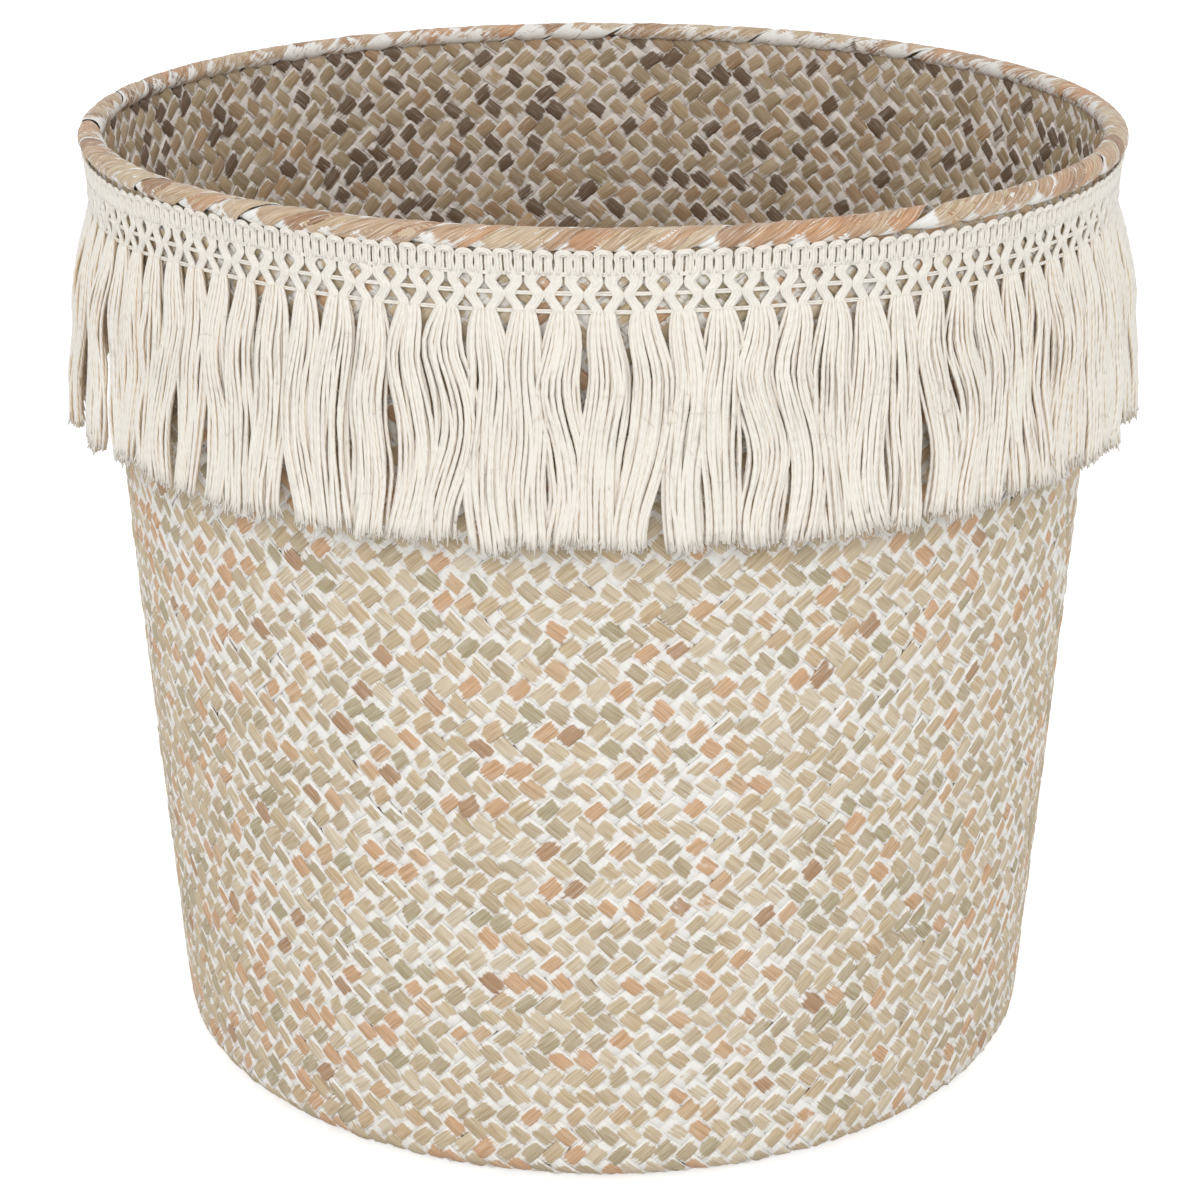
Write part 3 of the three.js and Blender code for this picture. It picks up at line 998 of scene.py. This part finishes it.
# One leg of a knot, in millimetres. Rows: how far below the heading, the bundle's middle from the
# knot's middle line, and the spacing of its yarns. It leaves two posts of the heading, goes round
# the eye, lies beside its twin at the upper knot and parts from it on the way to the lower one.
LEG = np.array([
    (-0.9, 2.45, 0.73),
    (0.1, 2.46, 0.68),
    (0.9, 2.90, 0.54),
    (1.9, 3.28, 0.45),
    (3.0, 2.82, 0.45),
    (4.0, 1.86, 0.44),
    (4.85, 1.40, 0.43),
    (5.8, 1.44, 0.42),
    (7.0, 2.05, 0.42),
    (8.4, 3.10, 0.42),
    (9.7, 3.60, 0.40),
    (10.6, 3.58, 0.42),
]) * MM
# The spacing of the knots that the leg is written for, and how far down it the two knots lie
LEG_SPACING = 4.8 * MM
LEG_KNOTS = (4.85 * MM, 9.7 * MM)
LEG_YARNS = 6
LEG_RANK = (np.arange(LEG_YARNS) - (LEG_YARNS - 1) / 2)[:, None]
# The radius of a yarn in the trim, as a share of its thickness: it is pressed a little flat
TRIM_YARN = 0.53


def leg_batch(trim, columns, draw):
    """The yarns of both legs of every knot, from the heading's posts to the lower knots."""
    fringe = trim.fringe
    spots = np.linspace(-0.9, 10.5, 17) * MM
    side = np.array([-1.0, 1.0])[:, None, None]
    middle, spacing = (eased_path(LEG[:, 0], LEG[:, i], spots) for i in (1, 2))
    shape = (len(columns), 2, LEG_YARNS, 1)
    drift = draw.normal(0, 0.16 * MM, (len(columns), 2, 1, 1)) * np.sin(spots / MM * 0.62)
    wave = draw.normal(0, 0.07 * MM, shape) * np.sin(
        spots / MM * draw.uniform(0.5, 1.1, shape) + draw.uniform(0, TURN, shape)
    )
    x = side * (middle + LEG_RANK * spacing) + drift + wave
    layer = 0.07 * MM * np.where(np.arange(LEG_YARNS) % 2, 1, -1)[:, None]
    knot = sum(np.exp(-(((spots - row) / (1.2 * MM)) ** 2)) for row in LEG_KNOTS)
    crown = -0.025 * MM * LEG_RANK**2
    out = 1.0 * MM + layer + crown + 0.28 * MM * knot + draw.normal(0, 0.06 * MM, shape)
    y = spots * fringe.knot_spacing / LEG_SPACING
    path = trim.point(columns[:, None, None, None] + 0.5, x, y, out)
    return round_tube(path.reshape(-1, len(spots), 3), fringe.yarn * TRIM_YARN, sides=5)


def loop_batch(trim, columns, draw):
    """The heading: two loops to a column, each of three yarns bent over in one arch.

    A yarn goes up at -w, over as half an ellipse w wide and h high, and down at w. The outer
    two draw in towards the foot, and all stand out further at the top, under the rim.
    """
    fringe = trim.fringe
    foot, top = 0.1 * MM, -fringe.heading - 1.05 * MM
    wide = np.array([0.61, 1.28, 1.96])[:, None] * MM
    high = np.array([0.40, 1.06, 1.70])[:, None] * MM
    turn = np.linspace(0, math.pi, 9)
    rise = np.linspace(0, 1, 5)[:-1]
    arch_x, arch_y = -wide * np.cos(turn), top + high[-1] - high * np.sin(turn)
    post_x, post_y = -wide + 0 * rise, foot + (arch_y[:, :1] - foot) * rise
    x = np.concatenate([post_x, arch_x, -post_x[:, ::-1]], axis=1)
    y = np.concatenate([post_y, arch_y, post_y[:, ::-1]], axis=1)
    loops, yarns = (len(columns), 2, 1, 1), (len(columns), 2, 3, 1)
    stretch = 1 + draw.normal(0, 0.035, loops)
    lean = draw.normal(0, 0.08, loops)
    lift = draw.normal(0, 0.12 * MM, loops)
    up = smooth((foot - y) / fringe.heading)
    narrow = np.array([0.0, 0.05, 0.1])[:, None]
    waist = 1 + narrow * np.cos(TURN * (y / fringe.heading + 0.05))
    loop_x = x * waist * stretch + lean * (foot - y) * 0.3 + draw.normal(0, 0.04 * MM, yarns)
    out = np.array([0.85, 1.12, 0.92])[:, None] * MM + 0.18 * MM * np.sin(math.pi * up)
    out = out + draw.normal(0, 0.05 * MM, yarns)
    out = out + 0.75 * MM * smooth((-y - 4.4 * MM) / (1.7 * MM))
    column = columns[:, None, None, None] + np.array([0.5, 1.0])[:, None, None]
    path = trim.point(column, loop_x, y + lift * up, out)
    return round_tube(path.reshape(-1, x.shape[1], 3), fringe.yarn * TRIM_YARN, sides=5)


def thread_batch(trim, rows, draw):
    """Double threads that run all the way round behind the knots, one pair to each row."""
    column = np.arange(trim.fringe.tassels * 6) / 6
    bow = 0.16 * MM * np.cos(TURN * column)
    paths = []
    for y, gap, out in rows:
        for side in (-1, 1):
            wave = 0.05 * MM * np.sin(column * TURN / 3 + side) + draw.normal(0, 0.02 * MM)
            paths.append(trim.point(column, 0.0, y + side * gap / 2 + wave, out + bow))
    path = np.stack(paths)
    wrapped = np.concatenate([path[:, -2:], path, path[:, :2]], axis=1)
    return round_tube(wrapped, 0.3 * MM, sides=5)[:, 2:-2]


def yarn_values(points, draw):
    """The numbers that a yarn's finish reads: length along it, share of the way round, a draw."""
    tubes, _, sides = points.shape[:3]
    return {
        "along": distance_along(points.mean(2))[:, :, None],
        # round is 1 on the side away from the basket and 0 on the side towards it; the finish paints
        # shade by it
        "round": np.abs(np.arange(sides) / sides * 2 - 1),
        "strand": draw.uniform(0, 1, (tubes, 1, 1)),
    }


class BASKET_OT_knot_trim(bpy.types.Operator):
    """Loops the heading, and knots the legs under it over double threads"""

    bl_idname = "basket.knot_trim"
    bl_label = "Knot the trim"

    def execute(self, context):
        plait, rim, fringe, colours = measures()
        trim = Trim(Wall(plait, rim), rim, fringe)
        # The trim's yarns take less of the painted shade
        material = yarn_material("cotton trim", colours, twist=420.0, shade=0.35)
        columns = np.arange(fringe.tassels)
        draw = np.random.default_rng(21)

        def tie(name, tubes, node, closed=False):
            """Makes one piece of the trim from its tubes."""
            heap = Heap()
            heap.add(tubes, yarn_values(tubes, draw), closed)
            place(heap, name, material, [node])

        # Each row of threads: how far below the heading, the gap in the pair, and how far out
        spacing = fringe.knot_spacing
        rows = [
            (-0.05 * MM, 0.5 * MM, 0.95 * MM),
            (spacing, 0.52 * MM, 0.85 * MM),
            (2 * spacing, 0.52 * MM, 0.85 * MM),
        ]
        tie("heading_loops", loop_batch(trim, columns, draw), "fringe_heading")
        tie("knotted_legs", leg_batch(trim, columns, draw), "fringe_net")
        tie("double_threads", thread_batch(trim, rows, draw), "fringe_net", closed=True)
        return {"FINISHED"}


# The yarns that come down from the two legs of a lower knot, in front of the rest of a tassel
FRONT_YARNS = 2 * LEG_YARNS
# Slow waves that the whole fringe shares: turns round the basket, length down it in millimetres
# and start
SHARED_WAVES = ((7, 95, 0.4), (13, -70, 2.2), (19, 58, 4.1), (29, -80, 1.3))


def sine_waves(down, amount, shortest, longest, shape, draw):
    """One wave to each yarn or tassel, of a drawn size, length and start; sizes in millimetres."""
    size = draw.normal(0, amount * MM, shape)
    reach = draw.uniform(shortest * MM, longest * MM, shape)
    return size * np.sin(TURN * down / reach + draw.uniform(0, TURN, shape))


def tassel_sway(down, middle, group, shape, draw):
    """Sideways waves that grow from the knot: shared ones, one to a tassel and two to a yarn."""
    sway = 0.9 * MM * sum(
        np.sin(turns * middle + TURN * down / (reach * MM) + start)
        for turns, reach, start in SHARED_WAVES
    )
    sway = sway + sine_waves(down, 1.15, 36, 70, group, draw)
    sway = sway + sine_waves(down, 0.13, 16, 30, shape, draw)
    sway = sway + sine_waves(down, 0.27, 35, 60, shape, draw)
    return sway * smooth(down / (18 * MM))


def knot_places(yarns):
    """Where a tassel's yarns leave their knot, along and out, and their rank from -1 to 1."""
    back = yarns - FRONT_YARNS
    leg_x = 1.36 * MM + LEG_RANK[:, 0] * 0.40 * MM
    x = np.concatenate([-leg_x[::-1], leg_x, np.linspace(-2.0, 2.0, back) * MM])
    layer = 0.2 * MM * np.where(np.arange(FRONT_YARNS) % 2, 1, -1)
    out = np.concatenate([1.15 * MM + layer, np.full(back, 0.7 * MM)])
    rank = np.concatenate([np.linspace(-1, 1, FRONT_YARNS), np.linspace(-0.92, 0.92, back)])
    return x[:, None], out[:, None], rank[:, None]


def tassel_batch(trim, columns, draw):
    """The yarns of the tassels, plumb from the lower knots, in a front and a back layer.

    At a share t of the way down, a yarn's place is its place at the knot, eased over to its place
    at the cut end. A tassel bulges under its knot and flares at its ends. Those at the left and
    right of the basket are more tousled.
    """
    fringe, wall = trim.fringe, trim.wall
    yarns = fringe.tassel_yarns
    group, shape = (len(columns), 1, 1), (len(columns), yarns, 1)
    t = np.concatenate([[0, 0.02, 0.05, 0.09], np.linspace(0.15, 1, 14)])
    cut = fringe.tassel + draw.normal(0, 0.8 * MM, group) + draw.normal(0, 0.5 * MM, shape)
    cut = cut - 5 * MM * (draw.uniform(0, 1, shape) > 0.985)
    down = t * cut
    middle = TURN * columns[:, None, None] / fringe.tassels
    tousled = smooth((np.abs(np.sin(middle)) - 0.72) / 0.22)
    knot_x, knot_out, rank = knot_places(yarns)
    rank = rank + draw.normal(0, 0.05, shape)
    rank = rank + draw.normal(0, 0.4, shape) * (draw.uniform(0, 1, shape) > 0.93)

    wide = draw.uniform(4.4, 5.7, group) * MM
    pinch = 1 - 0.2 * smooth((t - 0.55) / 0.45) * draw.uniform(-0.4, 1.4, group)
    spread = 1 - np.exp(-down / (6.8 * MM))
    x = knot_x * (1 - spread) + rank * wide * pinch * spread
    x = x + tassel_sway(down, middle, group, shape, draw)
    x = x + draw.normal(0, 1.0 * MM, group) * (1 + 2.5 * tousled) * t**1.6

    number = np.arange(yarns)[:, None]
    in_front = number < FRONT_YARNS
    crown = np.sqrt(np.clip(1.15 - rank**2, 0.1, 1))
    depth = fringe.tassel_depth * draw.uniform(0.75, 1.1, group)
    far = depth * (0.45 * crown + np.where(in_front, 0.55, 0.37))
    far = far + 0.22 * MM * np.where(number % 2, 1, -1) + draw.normal(0, 0.22 * MM, shape)
    stand = smooth(t) ** 0.8
    out = knot_out * (1 - stand) + far * stand + fringe.flare * t
    bulge = np.where(in_front, 1.5, 1.0) * crown * MM
    out = out + bulge * np.sin(math.pi * np.clip(down / (34 * MM), 0, 1))
    lifted = 2.4 * MM * tousled * draw.uniform(0.2, 1.2, group)
    out = out + lifted * np.sin(0.75 * math.pi * t)
    out = out + sine_waves(down, 0.25, 18, 36, shape, draw) * smooth(down / (18 * MM))

    neck = 2 * fringe.knot_spacing - 0.4 * MM
    hang = wall.outer(trim.edge - neck)
    height = trim.height(middle + x / hang, neck + down)
    clear = wall.outer(np.clip(height, 0, wall.top)) + 0.55 * MM
    radius = np.maximum(hang + out, clear)
    return polar(radius, middle + x / radius, height).reshape(-1, len(t), 3)


def end_fibres(path, yarn, draw, each):
    """Loose fibres that part from the last few millimetres of each yarn and fill out its end."""
    fibres = (len(path), each, 1)
    along = unit(path[:, -1] - path[:, -2])[:, None]
    parting = draw.uniform(3, 6.5, fibres) * MM
    start = path[:, -1:] - along * parting
    bend = draw.normal(0, 1, (len(path), each, 3))
    reach = parting + draw.normal(0.2, 0.6, fibres) * MM
    share = np.linspace(0, 1, 4)[:, None]
    run = (along * reach)[:, :, None] * share
    sway = bend[:, :, None] * share**1.3 * 0.5 * MM
    thin = np.array([0.8, 1.0, 0.95, 0.6]) * yarn * 0.42
    return round_tube((start[:, :, None] + run + sway).reshape(-1, 4, 3), thin, sides=3)


def stray_fibres(path, draw, share):
    """Fine fibres that leave the side of a yarn in a curl: their heading turns as they go."""
    chosen = path[draw.uniform(0, 1, len(path)) < share]
    ring = draw.integers(4, path.shape[1] - 3, len(chosen))
    start = chosen[np.arange(len(chosen)), ring][:, None]
    outward, upward = outward_at(start), np.array([0.0, 0.0, 1.0])
    sideways = np.cross(outward, upward)
    steps = np.linspace(0, 1, 7)[:, None]
    fibres = (len(chosen), 1, 1)
    reach = draw.uniform(3, 9, fibres) * MM
    heading = draw.uniform(0, TURN, fibres) + steps * draw.normal(0, 1.4, fibres)
    run = np.cos(heading) * sideways + np.sin(heading) * upward
    lift = outward * (0.6 + 1.2 * steps * draw.uniform(0, 1, fibres)) * MM
    return round_tube(start + run * steps * reach + lift, 0.055 * MM, sides=3)


class BASKET_OT_hang_tassels(bpy.types.Operator):
    """Hangs the yarn tassels, with their frayed ends and stray fibres"""

    bl_idname = "basket.hang_tassels"
    bl_label = "Hang the tassels"

    def execute(self, context):
        plait, rim, fringe, colours = measures()
        trim = Trim(Wall(plait, rim), rim, fringe)
        material = yarn_material("cotton yarn", colours, twist=330.0, shade=1.0)
        draw = np.random.default_rng(31)
        pairs = sorted(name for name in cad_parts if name.startswith("tassel_pair"))
        parts = 4
        for part in range(parts):
            first, last = (round(i * fringe.tassels / parts) for i in (part, part + 1))
            path = tassel_batch(trim, np.arange(first, last), draw)
            taper = np.linspace(1.22, 1.5, path.shape[1])
            taper[0], taper[-1] = 0.85, 1.2
            heap = Heap()
            tubes = round_tube(path, fringe.yarn / 2 * taper, sides=5)
            heap.add(tubes, yarn_values(tubes, draw))
            ends = end_fibres(path, fringe.yarn, draw, each=3)
            strays = stray_fibres(path, draw, share=0.3)
            for fibres in (ends, strays):
                heap.add(fibres, yarn_values(fibres, draw))
            low, high = (round(i * len(pairs) / parts) for i in (part, part + 1))
            place(heap, f"tassels_{part + 1}", material, pairs[low:high])
        return {"FINISHED"}


# The stage


def seen_ray(tree, more, least):
    """A strength that is more by that much where the camera, gloss or glass looks at it."""
    path = add_node(tree, "LightPath").outputs
    camera, gloss, glass = (
        Value(path[f"Is {kind} Ray"]) for kind in ("Camera", "Glossy", "Transmission")
    )
    return camera.calc("MAXIMUM", gloss).calc("MAXIMUM", glass) * more + least


def lay_floor(scene):
    """A wide grey floor that glows for the camera, so it shows white and keeps the shadow."""
    span = 6.0
    mesh = bpy.data.meshes.new("floor")
    corners = [(-span, -span, 0), (span, -span, 0), (span, span, 0), (-span, span, 0)]
    mesh.from_pydata(corners, [], [(0, 1, 2, 3)])
    settings = {
        "Base Color": scene.basket_colours.ground,
        "Roughness": 1.0,
        "Specular IOR Level": 0.0,
        "Emission Color": (1.0, 1.0, 1.0),
    }
    material, tree, inputs = finish("pale floor", settings)
    feed(inputs, {"Emission Strength": seen_ray(tree, 0.57, 0.0)})
    mesh.materials.append(material)
    floor = bpy.data.objects.new("floor", mesh)
    scene.collection.objects.link(floor)


def light_room(scene):
    """A dim white room that shows as full white, and three soft lamps in front of the basket."""
    world = bpy.data.worlds.new("soft room")
    world.use_nodes = True
    tree = world.node_tree
    glow = {"Color": (1.0, 1.0, 1.0), "Strength": seen_ray(tree, 0.22, 0.78)}
    feed(tree.nodes["Background"].inputs, glow)
    scene.world = world
    lamps = [
        ("key", (0.0, -2.3, 1.35), 10.2, 0.7),
        ("left fill", (-1.2, -1.5, 0.9), 4.8, 1.2),
        ("right fill", (1.2, -1.5, 0.9), 4.3, 1.2),
    ]
    middle = Vector((0, 0, 0.15))
    for name, where, power, size in lamps:
        data = bpy.data.lights.new(name, "AREA")
        data.energy, data.size = power, size
        lamp = bpy.data.objects.new(name, data)
        lamp.location = where
        look = middle - lamp.location
        lamp.rotation_euler = look.to_track_quat("-Z", "Y").to_euler()
        scene.collection.objects.link(lamp)


def set_camera(scene):
    """The camera at the photo's angle, from a fit to the photo's ellipses and edges."""
    data = bpy.data.cameras.new("camera")
    data.sensor_width, data.lens = 36.0, 92.66
    data.clip_start, data.clip_end = 0.05, 50.0
    camera = bpy.data.objects.new("camera", data)
    camera.location = (-0.0009, -0.8851, 0.4536)
    looks_down = 0.35338
    camera.rotation_euler = (math.pi / 2 - looks_down, 0, 0)
    scene.collection.objects.link(camera)
    scene.camera = camera


class BASKET_OT_set_stage(bpy.types.Operator):
    """Sets the floor, the light and the camera"""

    bl_idname = "basket.set_stage"
    bl_label = "Set the stage"

    def execute(self, context):
        scene = context.scene
        scene.view_settings.view_transform = "Standard"
        lay_floor(scene)
        light_room(scene)
        set_camera(scene)
        return {"FINISHED"}


# The sidebar

MAKERS = [
    BASKET_OT_plait_wall,
    BASKET_OT_plait_base,
    BASKET_OT_bind_rim,
    BASKET_OT_knot_trim,
    BASKET_OT_hang_tassels,
    BASKET_OT_set_stage,
]
GROUPS = {
    "basket_plait": BasketPlait,
    "basket_rim": BasketRim,
    "basket_fringe": BasketFringe,
    "basket_colours": BasketColours,
}


class BASKET_PT_sidebar(bpy.types.Panel):
    """The basket's sizes and the steps that make it."""

    bl_label = "Reed basket"
    bl_idname = "BASKET_PT_sidebar"
    bl_space_type = "VIEW_3D"
    bl_region_type = "UI"
    bl_category = "Basket"

    def draw(self, context):
        for name, group in GROUPS.items():
            box = self.layout.box()
            box.label(text=group.__doc__)
            for key in group.__annotations__:
                box.prop(getattr(context.scene, name), key)
        for maker in MAKERS:
            self.layout.operator(maker.bl_idname)


def register():
    """Adds the sizes to the scene, and the steps and the sidebar to Blender."""
    for name, group in GROUPS.items():
        bpy.utils.register_class(group)
        setattr(bpy.types.Scene, name, PointerProperty(type=group))
    for maker in MAKERS:
        bpy.utils.register_class(maker)
    bpy.utils.register_class(BASKET_PT_sidebar)


def unregister():
    """Takes away what register added."""
    bpy.utils.unregister_class(BASKET_PT_sidebar)
    for maker in reversed(MAKERS):
        bpy.utils.unregister_class(maker)
    for name, group in GROUPS.items():
        delattr(bpy.types.Scene, name)
        bpy.utils.unregister_class(group)


def main():
    """Makes the whole basket."""
    register()
    grain_group()
    paint_group()
    reed_groups(bpy.context.scene.basket_colours)
    bpy.ops.basket.plait_wall()
    bpy.ops.basket.plait_base()
    bpy.ops.basket.bind_rim()
    bpy.ops.basket.knot_trim()
    bpy.ops.basket.hang_tassels()
    bpy.ops.basket.set_stage()


if __name__ == "__main__":
    main()
